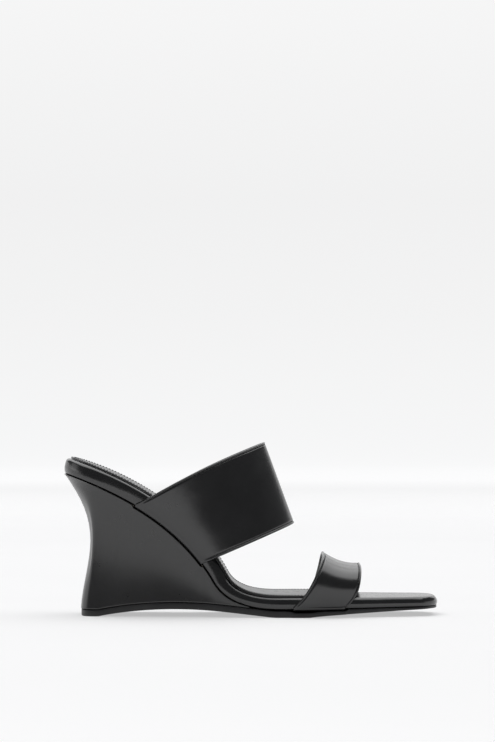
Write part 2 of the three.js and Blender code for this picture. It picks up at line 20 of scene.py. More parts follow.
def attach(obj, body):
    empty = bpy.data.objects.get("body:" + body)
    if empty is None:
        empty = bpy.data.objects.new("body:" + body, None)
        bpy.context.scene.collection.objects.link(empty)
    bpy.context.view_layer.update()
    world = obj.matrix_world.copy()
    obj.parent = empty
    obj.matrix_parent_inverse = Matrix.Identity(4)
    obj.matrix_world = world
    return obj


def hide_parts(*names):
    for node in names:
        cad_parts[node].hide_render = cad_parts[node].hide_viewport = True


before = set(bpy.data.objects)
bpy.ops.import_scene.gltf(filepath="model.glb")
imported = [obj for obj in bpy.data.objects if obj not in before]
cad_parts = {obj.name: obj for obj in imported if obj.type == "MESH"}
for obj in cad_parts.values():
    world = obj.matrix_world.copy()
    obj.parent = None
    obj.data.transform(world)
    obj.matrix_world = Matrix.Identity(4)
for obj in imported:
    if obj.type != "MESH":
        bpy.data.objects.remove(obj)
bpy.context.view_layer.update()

bl_info = {
    "name": "Wedge Mule",
    "version": (1, 0, 0),
    "blender": (4, 5, 0),
    "location": "View3D > Sidebar > Mule",
    "description": "Models a leather wedge mule piece by piece",
    "category": "Add Mesh",
}

MM = 0.001

# ------------------------------------------------------------------ small helpers


def mix(a, b, t):
    return a + (b - a) * t


def clamp(x, low=0.0, high=1.0):
    return min(max(x, low), high)


def smooth(x, low, high):
    t = clamp((x - low) / (high - low))
    return t * t * (3 - 2 * t)


def bell(x, width):
    """A bump of height 1 around 0."""
    return exp(-((x / width) ** 2))


def catmull(points, k, t):
    """A point on the smooth closed curve through points, t of the way from point k to the next."""
    a, b, c, d = (points[(k + i) % len(points)] for i in (-1, 0, 1, 2))
    leave, arrive = (c - a) * 0.5, (d - b) * 0.5
    held = b * (2 * t**3 - 3 * t**2 + 1) + c * (3 * t**2 - 2 * t**3)
    return held + leave * (t**3 - 2 * t**2 + t) + arrive * (t**3 - t**2)


def evenly(line, count=None, pitch=None, closed=True):
    """Evenly spaced (point, direction) pairs on a line of vectors."""
    points = [*line, line[0]] if closed else list(line)
    lengths = [0.0]
    for a, b in zip(points, points[1:]):
        lengths.append(lengths[-1] + (b - a).length)
    if count is None:
        count = max(2, round(lengths[-1] / pitch))
    steps = count if closed else count - 1
    found = []
    for j in range(count):
        wanted = lengths[-1] * j / steps
        k = min(bisect_right(lengths, wanted) - 1, len(points) - 2)
        span = points[k + 1] - points[k]
        t = (wanted - lengths[k]) / max(lengths[k + 1] - lengths[k], 1e-9)
        found.append((points[k] + span * t, span.normalized()))
    return found


# ------------------------------------------------------------------ the last

HEEL_X = -114.0
SEAT_HEIGHT = 86.4
SEAT_ROUND = 36.0
LEATHER = 0.9
CLEARANCE = 0.3
OUTER, INNER = -1, 1  # sides of the foot


class Profile:
    """The footbed's underside seen from the side, measured along its length."""

    def __init__(self):
        back, arch = Vector((HEEL_X, SEAT_HEIGHT)), Vector((-22.0, 21.0))
        ball, toe = Vector((17.0, 5.0)), Vector((114.0, 6.0))
        level = Vector((15.0, 0.0))
        seat_fall = Vector((cos(radians(16.5)), -sin(radians(16.5))))
        arch_fall = Vector((cos(radians(60)), -sin(radians(60))))
        corner = ball + level
        curves = [
            (back, back + seat_fall * 34, arch - arch_fall * 40, arch),
            (arch, arch + arch_fall * 15, ball - level, ball),
            (ball, ball.lerp(corner, 2 / 3), toe.lerp(corner, 2 / 3), toe),
        ]
        self.points = [back]
        for curve in curves:
            self.points += [p.copy() for p in interpolate_bezier(*curve, 300)[1:]]
        self.lengths = [0.0]
        for a, b in zip(self.points, self.points[1:]):
            self.lengths.append(self.lengths[-1] + (b - a).length)
        self.length = self.lengths[-1]
        first = self.points[0] * 2 - self.points[1]
        last = self.points[-1] * 2 - self.points[-2]
        spread = [first, *self.points, last]
        self.tangents = [(b - a).normalized() for a, b in zip(spread, spread[2:])]

    def at(self, s):
        """Place and direction at a station. Past both ends it runs straight on."""
        inside = clamp(s, 0.0, self.length)
        k = int(clamp(bisect_right(self.lengths, inside) - 1, 0, len(self.points) - 2))
        t = (inside - self.lengths[k]) / (self.lengths[k + 1] - self.lengths[k])
        along = self.tangents[k].lerp(self.tangents[k + 1], t).normalized()
        return self.points[k].lerp(self.points[k + 1], t) + along * (s - inside), along

    def height_at(self, x):
        """Height of the underside at an x."""
        low, high = 0.0, self.length
        for _ in range(26):
            middle = (low + high) / 2
            if self.at(middle)[0].x < x:
                low = middle
            else:
                high = middle
        return self.at(low)[0].y


LAST = Profile()


def bed(s, y, h):
    """The point at station s, y across, and h above the footbed's underside."""
    place, along = LAST.at(s)
    return Vector((place.x - along.y * h, y, place.y + along.x * h))


class Outline:
    """The footbed's edge as a closed line of (station, y), its outer side first."""

    def __init__(self):
        end, shift = LAST.length, 3.5

        def side(sign, middle):
            found = []
            for a in (30, 60, 90):
                found.append((SEAT_ROUND * (1 - cos(radians(a))), sign * 27 * sin(radians(a))))
            found += [(s, sign * y) for s, y in middle]
            for a in (62, 45, 28, 13):
                ahead = 34 * (1 - cos(radians(a)) ** (2 / 3))
                found.append((end - ahead, shift + sign * 28 * sin(radians(a)) ** (2 / 3)))
            return [Vector(p) for p in found]

        outer = [(72, 26), (112, 29), (146, 36.5), (172, 38), (end - 54, 32.7), (end - 32, 26.5)]
        inner = [(60, 23.5), (88, 21.5), (122, 25), (154, 34.5), (180, 38)]
        inner += [(end - 52, 35.5), (end - 30, 32)]
        knots = [Vector((0, 0)), *side(OUTER, outer), Vector((end, shift))]
        knots += reversed(side(INNER, inner))
        fine = [catmull(knots, k, i / 24) for k in range(len(knots)) for i in range(24)]
        self.line = [p for p, _ in evenly(fine, count=900)]
        self.sides = {}
        for sign in (OUTER, INNER):
            points = sorted((p.x, p.y) for p in self.line if p.y * sign > -1e-6)
            self.sides[sign] = ([p[0] for p in points], [p[1] for p in points])

        self.inward = []
        self.tree = KDTree(len(self.line))
        for k, p in enumerate(self.line):
            ahead = self.line[(k + 1) % len(self.line)] - self.line[k - 1]
            self.inward.append(Vector((-ahead.y, ahead.x)).normalized())
            self.tree.insert((p.x, p.y, 0), k)
        self.tree.balance()

    def inset(self, distance, count):
        """The line moved inwards, as evenly spaced points."""
        moved = [p + n * distance for p, n in zip(self.line, self.inward)]
        return [p for p, _ in evenly(moved, count=count)]

    def pulled_in(self, s, y, distance):
        """A place near the edge, moved inwards."""
        _, k, _ = self.tree.find((s, y, 0))
        return s + self.inward[k].x * distance, y + self.inward[k].y * distance

    def edge(self, sign, s):
        """The y of the edge at a station."""
        xs, ys = self.sides[sign]
        k = int(clamp(bisect_right(xs, s), 1, len(xs) - 1))
        t = clamp((s - xs[k - 1]) / max(xs[k] - xs[k - 1], 1e-9))
        return mix(ys[k - 1], ys[k], t)


OUTLINE = Outline()


def bed_thickness(size, s):
    """Of the wrapped footbed at a station."""
    arch = mix(size.seat_thickness, size.ball_thickness, smooth(s, 60, 150)) / MM
    return mix(arch, size.toe_thickness / MM, smooth(s, 150, LAST.length))


# ------------------------------------------------------------------ the ground side


def ground_height(x):
    """The outsole's underside: flat at heel and ball, arched between, and sprung at the toe."""
    if x < 14:
        t = clamp((x + 92) / 106)
        return 4.4 * sin(pi * t**0.85)
    return 4.6 * clamp((x - 36) / 78) ** 0.75


def sole_top(x):
    return min(ground_height(x) + 4.0, LAST.height_at(x) - CLEARANCE)


WEDGE_END = 142.75  # station where the wedge runs out under the ball


def foot_point(s, y):
    """Where a point of the outline comes down to: the rounded seat becomes a squared heel."""
    x = LAST.at(s)[0].x
    sign = OUTER if y < 0 else INNER
    if s < SEAT_ROUND:
        angle = acos(clamp(1 - s / SEAT_ROUND, -1, 1))
        depth = LAST.at(SEAT_ROUND)[0].x - (HEEL_X + 11)
        back = HEEL_X + 11 + depth * (1 - cos(angle) ** 0.4)
        return Vector((back, sign * 24 * sin(angle) ** 0.4))
    edge = abs(OUTLINE.edge(sign, min(s, LAST.length - 34)))
    narrow = min(edge, 24) / edge
    return Vector((x, y * mix(narrow, 1, smooth(s, SEAT_ROUND, WEDGE_END))))


# ------------------------------------------------------------------ straps


class StrapForm:
    """The surface that a strap's inner face lies on.

    Across the strap, an angle runs from 0 at the outer foot over 90 at the crest to 180 at the
    inner foot, and on under the footbed at both ends. Along its width, b runs from 0 at its rear
    edge to 1 at its front edge.
    """

    def __init__(self, feet, reach, lean, camber, shift, sag, fullness, swell_rise, side, crown):
        self.feet = feet
        self.camber = camber
        self.shift = shift
        self.sag = sag
        self.fullness = fullness
        self.swell_rise = swell_rise
        self.side = side
        self.crown = crown
        self.crests = []
        for k in (0, 1):
            middle = bed(feet[OUTER][k], 0, LEATHER).lerp(bed(feet[INNER][k], 0, LEATHER), 0.5)
            rise = Vector((cos(radians(lean[k])), 0, sin(radians(lean[k])))) * reach[k]
            self.crests.append(middle + rise)

    def base(self, sign, angle, b):
        """Under the footbed, from its edge inwards, with a rounded turn at the edge."""
        s = mix(*self.feet[sign], b)
        edge = OUTLINE.edge(sign, s)
        t = -angle / 20
        turn = smooth(t, 0, 0.3)
        out = mix(CLEARANCE, -0.9, turn) - 10 * max(t - 0.18, 0) / 0.82
        up = mix(LEATHER, -CLEARANCE, turn**0.7)
        return bed(s, edge + sign * out, up)

    def point(self, angle, b):
        sign, angle = (OUTER, angle) if angle <= 90 else (INNER, 180 - angle)
        if angle < 0:
            return self.base(sign, angle, b)
        s = mix(*self.feet[sign], b)
        foot = bed(s, OUTLINE.edge(sign, s) + sign * CLEARANCE, LEATHER)
        crest = self.crests[0].lerp(self.crests[1], b)
        crest.z -= self.sag * 4 * b * (1 - b)
        rise = sin(radians(angle))
        lean = atan2(crest.z - foot.z, crest.x - foot.x)
        bow = mix(*self.camber, b) * sin(pi * rise)
        swell = mix(*self.fullness, b) * sin(pi * rise**self.swell_rise) * (1 - rise)
        width = max(1 - rise**self.crown, 0) ** (1 / self.side)
        y = self.shift + (foot.y - self.shift) * width + sign * swell
        x = mix(foot.x, crest.x, rise) - bow * sin(lean)
        return Vector((x, y, mix(foot.z, crest.z, rise) + bow * cos(lean)))

    def out(self, angle, b):
        """Outward direction."""
        across = self.point(angle + 0.6, b) - self.point(angle - 0.6, b)
        along = self.point(angle, b + 0.01) - self.point(angle, b - 0.01)
        return along.cross(across).normalized()

    def width(self, angle):
        return (self.point(angle, 1) - self.point(angle, 0)).length


STRAPS = {
    "rear": StrapForm(
        feet={OUTER: (48.5, 102.5), INNER: (50, 104)},
        reach=(83.3, 57.2),
        lean=(26.2, 23.6),
        camber=(1.8, 0),
        shift=3,
        sag=0,
        fullness=(6.0, 8.5),
        swell_rise=1.0,
        side=2.2,
        crown=2.4,
    ),
    "front": StrapForm(
        feet={OUTER: (168.5, 199.5), INNER: (176, 206)},
        reach=(32.6, 23.2),
        lean=(66.3, 72),
        camber=(-2.1, -2.5),
        shift=4,
        sag=2.6,
        fullness=(6.0, 6.0),
        swell_rise=2.0,
        side=5.0,
        crown=5.0,
    ),
}

# ------------------------------------------------------------------ making and finishing pieces


def doubled(bm):
    """Extrudes every face and gives the new vertices."""
    grown = bmesh.ops.extrude_face_region(bm, geom=bm.faces[:])["geom"]
    return [g for g in grown if isinstance(g, bmesh.types.BMVert)]


def bevel(bm, edges, radius, segments):
    bmesh.ops.bevel(
        bm,
        geom=edges,
        offset=radius,
        segments=segments,
        profile=0.5,
        affect="EDGES",
        material=-1,
        clamp_overlap=False,
    )


def inset(bm, faces, thickness):
    bmesh.ops.inset_region(bm, faces=faces, thickness=thickness, use_even_offset=True)


def broad_faces(bm, side):
    """The whole upper (1) or lower (-1) face of a plate that hasn't been cut yet."""
    return [f for f in bm.faces if f.normal.z * side > 0.9 and len(f.verts) > 50]


def to_metres(bm):
    bmesh.ops.scale(bm, vec=(MM, MM, MM), verts=bm.verts[:])


def plate(line, thick):
    """A flat plate with that outline, its lower face at height 0."""
    bm = bmesh.new()
    ring = bmesh.ops.create_circle(bm, cap_ends=True, segments=len(line), radius=1)["verts"]
    for v, p in zip(ring, line):
        v.co = (p.x, p.y, 0)
    bmesh.ops.translate(bm, verts=doubled(bm), vec=(0, 0, thick))
    bmesh.ops.recalc_face_normals(bm, faces=bm.faces[:])
    return bm


def rim(bm, height):
    """The edges that run round a plate at a height."""
    found = []
    for e in bm.edges:
        level = all(abs(v.co.z - height) < 1e-4 for v in e.verts)
        if level and any(abs(f.normal.z) < 0.5 for f in e.link_faces):
            found.append(e)
    return found


def round_rim(bm, height, radius, segments):
    bevel(bm, rim(bm, height), radius, segments)


def slice_at(bm, axis, places):
    """Cuts every face at planes across an axis, so that the piece can bend there."""
    normal = Vector((0, 0, 0))
    normal[axis] = 1
    for place in places:
        geom = bm.verts[:] + bm.edges[:] + bm.faces[:]
        bmesh.ops.bisect_plane(bm, geom=geom, dist=1e-5, plane_co=normal * place, plane_no=normal)


def steps(low, high, size):
    count = max(1, round((high - low) / size))
    return [mix(low, high, k / count) for k in range(1, count)]


def place_verts(bm, where):
    """Moves each vertex to where(x, y, z) says, in millimetres, and scales the piece to metres."""
    for v in bm.verts:
        v.co = where(*v.co)
    to_metres(bm)


def into_object(bm, name):
    """Turns a bmesh into an object with smooth faces."""
    for f in bm.faces:
        f.smooth = True
    mesh = bpy.data.meshes.new(name)
    bm.to_mesh(mesh)
    bm.free()
    made = bpy.data.objects.new(name, mesh)
    bpy.context.scene.collection.objects.link(made)
    return made


def finish_piece(bm, name, finish, stands_for, angle=40):
    """Turns a finished bmesh into an object that rides on the shoe."""
    bmesh.ops.remove_doubles(bm, verts=bm.verts[:], dist=1e-7)
    bmesh.ops.recalc_face_normals(bm, faces=bm.faces[:])
    for e in bm.edges:
        e.smooth = len(e.link_faces) != 2 or e.calc_face_angle(0) < radians(angle)
    piece = into_object(bm, name)
    for material in finish if isinstance(finish, list) else [finish]:
        piece.data.materials.append(material)
    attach(piece, "root")
    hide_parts(*stands_for)
    return piece


def stitch(bm, centre, along, out, length, width, height):
    """Adds one stitch, a flattened bead."""
    across = out.cross(along).normalized()
    turned = Matrix((along, across, out)).transposed().to_4x4()
    size = Matrix.Diagonal((length / 2, width / 2, height / 2, 1))
    bmesh.ops.create_uvsphere(
        bm,
        u_segments=8,
        v_segments=6,
        radius=1,
        matrix=Matrix.Translation(centre) @ turned @ size @ Matrix.Rotation(pi / 2, 4, "Y"),
    )


# ------------------------------------------------------------------ shader building


class Wire:
    """A value in a material's node tree. Arithmetic on it adds Math nodes."""

    def __init__(self, tree, socket):
        self.tree = tree
        self.socket = socket

    def math(self, operation, *values):
        return self.tree.node("ShaderNodeMath", {"operation": operation}, *values)

    def __add__(self, other):
        return self.math("ADD", self, other)

    __radd__ = __add__

    def __sub__(self, other):
        return self.math("SUBTRACT", self, other)

    def __rsub__(self, other):
        return self.math("SUBTRACT", other, self)

    def __mul__(self, other):
        return self.math("MULTIPLY", self, other)

    __rmul__ = __mul__

    def __truediv__(self, other):
        return self.math("DIVIDE", self, other)

    def between(self, low, high):
        """0 below low and 1 above high, smoothly."""
        return self.tree.node(
            "ShaderNodeMapRange",
            {"interpolation_type": "SMOOTHSTEP"},
            Value=self,
            From_Min=low,
            From_Max=high,
        )


class Finish:
    """A material under construction."""

    def __init__(self, name, **constants):
        self.material = bpy.data.materials.new(name)
        self.material.use_nodes = True
        self.nodes = self.material.node_tree.nodes
        self.links = self.material.node_tree.links
        self.shader = self.nodes["Principled BSDF"]
        for key, value in constants.items():
            self.shader.inputs[key.replace("_", " ")].default_value = value
        self.here = self.node("ShaderNodeTexCoord", output="Object")

    def node(self, kind, settings=None, *values, output=0, **named):
        """Adds a node. Settings come first, then the values or links of its inputs."""
        made = self.nodes.new(kind)
        for key, value in (settings or {}).items():
            if key == "stops":
                ramp = made.color_ramp.elements
                while len(ramp) < len(value):
                    ramp.new(0.5)
                for element, (position, colour) in zip(ramp, value):
                    element.position = position
                    element.color = (*colour, 1)
            else:
                setattr(made, key, value)
        pairs = [(made.inputs[k], v) for k, v in enumerate(values)]
        for key, value in named.items():
            pairs.append((self.input_named(made, key.replace("_", " ")), value))
        for socket, value in pairs:
            if isinstance(value, Wire):
                self.links.new(value.socket, socket)
            else:
                socket.default_value = value
        return Wire(self, made.outputs[output])

    @staticmethod
    def input_named(made, name):
        """The enabled input of that name, because a Mix node has one for each kind of value."""
        return next(i for i in made.inputs if i.name == name and i.enabled)

    def noise(self, scale, detail=2.0, rough=0.5, at=None):
        return self.node(
            "ShaderNodeTexNoise",
            None,
            Vector=at or self.here,
            Scale=scale,
            Detail=detail,
            Roughness=rough,
        )

    def cells(self, scale, feature="F1", output="Distance", at=None):
        return self.node(
            "ShaderNodeTexVoronoi",
            {"feature": feature},
            Vector=at or self.here,
            Scale=scale,
            output=output,
        )

    def blend(self, factor, a, b):
        """A colour between a and b."""
        colours = [(*c, 1) if isinstance(c, (tuple, list)) and len(c) == 3 else c for c in (a, b)]
        return self.node(
            "ShaderNodeMix",
            {"data_type": "RGBA"},
            Factor=factor,
            A=colours[0],
            B=colours[1],
            output=2,
        )

    def bumped(self, height, strength, distance, under=None):
        extra = {"Normal": under} if under else {}
        return self.node(
            "ShaderNodeBump", None, Height=height, Strength=strength, Distance=distance, **extra
        )

    def finished(self, colour, rough, height, strength, distance, under=None):
        """Links what varies over the surface and hands over the material."""
        bump = self.bumped(height, strength, distance, under)
        return self.feed(Base_Color=colour, Roughness=rough, Normal=bump)

    def feed(self, **wires):
        """Links values to the shader's own sockets."""
        for key, wire in wires.items():
            self.links.new(wire.socket, self.shader.inputs[key.replace("_", " ")])
        return self.material


# ------------------------------------------------------------------ finishes


def once(build):
    """Makes a finish the first time it is asked for, and hands out the same one after that."""
    made = {}

    def handed_out():
        if build.__name__ not in made:
            made[build.__name__] = build()
        return made[build.__name__]

    return handed_out


def grain(finish, cell, wrinkle):
    """Leather grain: fine pores and pebbles of a size in metres, over slow soft wrinkles."""
    drift = finish.noise(1 / (cell * 5), 3.0)
    pebbles = finish.cells(1 / cell, at=finish.here)
    creases = finish.cells(1 / (cell * 0.62), feature="DISTANCE_TO_EDGE")
    fine = pebbles * 0.6 + creases.between(0.0, 0.25) * 0.5 + drift * 0.7
    waves = finish.noise(1 / wrinkle, 2.0, 0.4)
    return fine, waves, drift


def calf(name, roughness, crease):
    look = bpy.context.scene.mule_leather
    calf = Finish(name, IOR=1.5, Specular_IOR_Level=look.polish)
    fine, waves, drift = grain(calf, look.grain, 0.014)
    patches = calf.noise(38.0, 4.0, 0.6)
    deep, worn = Vector(look.calf_colour) * 0.8, Vector(look.calf_colour) * 1.35
    colour = calf.blend(patches.between(0.3, 0.75), tuple(deep), tuple(worn))
    rough = (patches - 0.5) * 0.10 + (drift - 0.5) * 0.05 + roughness
    slow = calf.bumped(waves, crease, 0.0004)
    return calf.finished(colour, rough, fine, 0.16, 0.00006, slow)


@once
def calf_leather():
    """On the straps."""
    return calf("Black calf", bpy.context.scene.mule_leather.calf_roughness, 0.35)


@once
def drawn_calf():
    """Pulled tight over the wedge, and a little duller."""
    return calf("Drawn calf", bpy.context.scene.mule_leather.calf_roughness + 0.04, 0.25)


@once
def glazed_calf():
    """Round the footbed, where handling has polished it."""
    return calf("Glazed calf", bpy.context.scene.mule_leather.calf_roughness - 0.07, 0.2)


@once
def sock_leather():
    look = bpy.context.scene.mule_leather
    sock = Finish("Sock leather", IOR=1.5, Specular_IOR_Level=0.8)
    fine, waves, drift = grain(sock, look.grain * 0.8, 0.010)
    worn = sock.noise(26.0, 4.0, 0.55)
    deep, pale = Vector(look.calf_colour) * 0.95, Vector(look.calf_colour) * 1.7
    colour = sock.blend(worn.between(0.35, 0.7), tuple(deep), tuple(pale))
    rough = (drift - 0.5) * 0.08 + (worn - 0.5) * 0.10 + 0.29
    slow = sock.bumped(waves, 0.3, 0.0004)
    return sock.finished(colour, rough, fine, 0.2, 0.00006, slow)


@once
def lining_leather():
    lining = Finish(
        "Lining leather", Specular_IOR_Level=0.3, Sheen_Weight=0.15, Sheen_Roughness=0.5
    )
    nap = lining.noise(2600.0, 4.0, 0.7)
    brushed = lining.noise(90.0, 3.0, 0.6)
    colour = lining.blend(brushed.between(0.3, 0.7), (0.018, 0.017, 0.017), (0.034, 0.032, 0.031))
    rough = brushed * 0.12 + 0.62
    return lining.finished(colour, rough, nap, 0.35, 0.0001)


@once
def sewing_thread():
    thread = Finish("Black thread", Specular_IOR_Level=0.45, Sheen_Weight=0.1)
    strands = thread.node(
        "ShaderNodeTexWave",
        {"bands_direction": "DIAGONAL"},
        Vector=thread.here,
        Scale=900.0,
        Distortion=1.5,
    )
    colour = thread.blend(strands, (0.012, 0.012, 0.013), (0.034, 0.034, 0.037))
    rough = strands * 0.15 + 0.45
    return thread.finished(colour, rough, strands, 0.4, 0.0001)


@once
def sole_rubber():
    rubber = Finish("Sole rubber", Specular_IOR_Level=0.5)
    specks = rubber.noise(1500.0, 3.0, 0.6)
    scuffs = rubber.noise(60.0, 5.0, 0.65)
    colour = rubber.blend(scuffs.between(0.35, 0.8), (0.011, 0.011, 0.012), (0.024, 0.024, 0.025))
    rough = scuffs * 0.16 + 0.40
    return rubber.finished(colour, rough, specks, 0.25, 0.00008)


@once
def tread_rubber():
    tread = Finish("Tread rubber", Specular_IOR_Level=0.4)
    ribs, cross = (
        tread.node("ShaderNodeTexWave", {"bands_direction": way}, Vector=tread.here, Scale=105.0)
        for way in "XY"
    )
    blocks = ribs.between(0.25, 0.6) * cross.between(0.25, 0.6)
    dust = tread.noise(70.0, 5.0, 0.6)
    colour = tread.blend(blocks * dust, (0.010, 0.010, 0.011), (0.032, 0.031, 0.030))
    rough = dust * 0.2 + 0.55
    return tread.finished(colour, rough, blocks, 0.8, 0.0005)


@once
def moulded_plastic():
    plastic = Finish("Moulded wedge plastic", Specular_IOR_Level=0.4)
    skin = plastic.noise(220.0, 4.0, 0.6)
    bubbles = plastic.cells(1400.0)
    colour = plastic.blend(skin.between(0.3, 0.7), (0.13, 0.115, 0.10), (0.19, 0.17, 0.145))
    rough = skin * 0.15 + 0.6
    return plastic.finished(colour, rough, bubbles, 0.3, 0.0002)


@once
def latex_foam():
    foam = Finish("Latex foam", Specular_IOR_Level=0.2)
    pores = foam.cells(1300.0)
    tone = foam.noise(150.0, 3.0)
    colour = foam.blend(pores.between(0.1, 0.5) * tone, (0.46, 0.40, 0.29), (0.74, 0.68, 0.55))
    rough = tone * 0.1 + 0.85
    return foam.finished(colour, rough, pores, 0.7, 0.0003)


@once
def insole_fibreboard():
    board = Finish("Fibreboard", Specular_IOR_Level=0.25)
    long_way = board.node("ShaderNodeMapping", None, Vector=board.here, Scale=(0.18, 1.0, 1.0))
    fibres = board.noise(1600.0, 5.0, 0.7, at=long_way)
    clouds = board.noise(80.0, 3.0)
    colour = board.blend(fibres.between(0.3, 0.7), (0.15, 0.075, 0.035), (0.27, 0.15, 0.08))
    rough = clouds * 0.12 + 0.75
    return board.finished(colour, rough, fibres, 0.3, 0.0001)


@once
def ground_cork():
    cork = Finish("Ground cork", Specular_IOR_Level=0.2)
    crumbs = cork.cells(620.0, output="Color")
    gaps = cork.cells(620.0, feature="DISTANCE_TO_EDGE").between(0.0, 0.12)
    tone = cork.node("ShaderNodeRGBToBW", None, Color=crumbs)
    colour = cork.blend(tone * gaps, (0.13, 0.065, 0.03), (0.42, 0.25, 0.12))
    rough = tone * 0.1 + 0.8
    return cork.finished(colour, rough, gaps, 0.6, 0.0003)


@once
def plain_steel():
    steel = Finish("Plain steel", Metallic=1.0)
    drawn = steel.node("ShaderNodeMapping", None, Vector=steel.here, Scale=(0.05, 1.0, 1.0))
    lines = steel.noise(2400.0, 3.0, 0.6, at=drawn)
    stain = steel.noise(130.0, 4.0)
    colour = steel.blend(stain.between(0.3, 0.8), (0.50, 0.51, 0.53), (0.36, 0.36, 0.37))
    rough = lines * 0.18 + 0.26
    return steel.finished(colour, rough, lines, 0.15, 0.00005)


@once
def woven_tape():
    tape = Finish("Woven tape", Specular_IOR_Level=0.2, Sheen_Weight=0.2)
    turned = tape.node("ShaderNodeMapping", None, Vector=tape.here, Rotation=(0, radians(20), 0))
    warp = tape.node("ShaderNodeTexWave", {"bands_direction": "X"}, Vector=turned, Scale=320.0)
    weft = tape.node("ShaderNodeTexWave", {"bands_direction": "Y"}, Vector=turned, Scale=320.0)
    weave = warp * (1 - weft) + weft * (1 - warp)
    colour = tape.blend(weave, (0.42, 0.38, 0.31), (0.66, 0.62, 0.54))
    rough = weave * 0.1 + 0.8
    return tape.finished(colour, rough, weave, 0.6, 0.0002)


# ------------------------------------------------------------------ what a user may change


def length(name, description, default, low, high):
    """A size that a user may change, in metres."""
    return FloatProperty(
        name=name, description=description, default=default, min=low, max=high, unit="LENGTH"
    )


class MuleFootbed(PropertyGroup):
    seat_thickness: length(
        "Seat thickness", "Wrapped footbed at the heel and through the arch", 0.0095, 0.008, 0.011
    )
    ball_thickness: length("Ball thickness", "Wrapped footbed at the ball", 0.007, 0.006, 0.0085)
    toe_thickness: length("Toe thickness", "Wrapped footbed at the toe", 0.0058, 0.005, 0.007)
    edge_radius: length("Edge radius", "Rounding of the padded upper edge", 0.0031, 0.001, 0.0035)
    pull_in: length(
        "Pull-in",
        "How far the leather is drawn in where the padded edge meets the sole",
        0.0009,
        0.0,
        0.0015,
    )
    seat_hollow: length(
        "Seat hollow", "Depth of the dish that the heel rests in", 0.0007, 0.0, 0.001
    )
    sock_thickness: length(
        "Sock thickness", "Leather sock on top of the footbed", 0.0011, 0.0008, 0.0014
    )


class MuleWedge(PropertyGroup):
    back_waist: length(
        "Back waist", "How far the wedge's back curves in, halfway up", 0.0112, 0.008, 0.0125
    )
    side_waist: length("Side waist", "How far the wedge's sides curve in", 0.0046, 0.003, 0.0052)
    top_radius: length(
        "Top radius", "Rounding where the cover turns in under the footbed", 0.0008, 0.0002, 0.0012
    )
    tread_recess: length(
        "Tread recess", "Depth of the tread panel inside the sole's border", 0.00035, 0.0, 0.0006
    )


class MuleStraps(PropertyGroup):
    leather_thickness: length("Leather thickness", "Outer ply of a strap", 0.0009, 0.0006, 0.0011)
    fold_width: length(
        "Folded edge",
        "Width of the leather turned back under a strap's edges",
        0.0039,
        0.003,
        0.0045,
    )
    groove_depth: length(
        "Stitch groove", "How deep the stitching pulls the leather in", 0.0005, 0.0, 0.0007
    )
    seam_inset: length("Seam inset", "From a strap's edge to its stitching", 0.0016, 0.0012, 0.0025)
    stitch_pitch: length("Stitch pitch", "From one stitch to the next", 0.0019, 0.0018, 0.004)


class MuleLeather(PropertyGroup):
    calf_colour: FloatVectorProperty(
        name="Calf colour",
        description="Dye of the straps, footbed and wedge",
        default=(0.0068, 0.0068, 0.0074),
        min=0.0,
        max=1.0,
        subtype="COLOR",
    )
    calf_roughness: FloatProperty(
        name="Calf roughness",
        description="Lower is glossier",
        default=0.25,
        min=0.1,
        max=0.9,
        subtype="FACTOR",
    )
    polish: FloatProperty(
        name="Polish",
        description="Strength of the leather's reflections",
        default=0.85,
        min=0.0,
        max=1.0,
        subtype="FACTOR",
    )
    grain: length("Grain size", "Across one pebble of the grain", 0.00075, 0.0003, 0.002)


class MuleStudio(PropertyGroup):
    # this paint fades out away from the middle of the stage, where the floor and the wall only glow
    # with painted light
    floor_colour: FloatVectorProperty(
        name="Floor colour",
        description="Paint of the floor and of the wall it runs up into",
        default=(0.5, 0.5, 0.504),
        min=0.0,
        max=1.0,
        subtype="COLOR",
    )
    top_light: FloatProperty(
        name="Top light",
        description="Power of the large softbox overhead",
        default=22.0,
        min=0.0,
        unit="POWER",
    )
    back_light: FloatProperty(
        name="Back light",
        description="Power of the long low softbox behind",
        default=9.0,
        min=0.0,
        unit="POWER",
    )
    side_light: FloatProperty(
        name="Side light",
        description="Power of the softbox at the heel",
        default=1.6,
        min=0.0,
        unit="POWER",
    )
    room_light: FloatProperty(
        name="Room light",
        description="Brightness of the room beyond the stage",
        default=0.14,
        min=0.0,
        max=2.0,
    )


# ------------------------------------------------------------------ the pieces


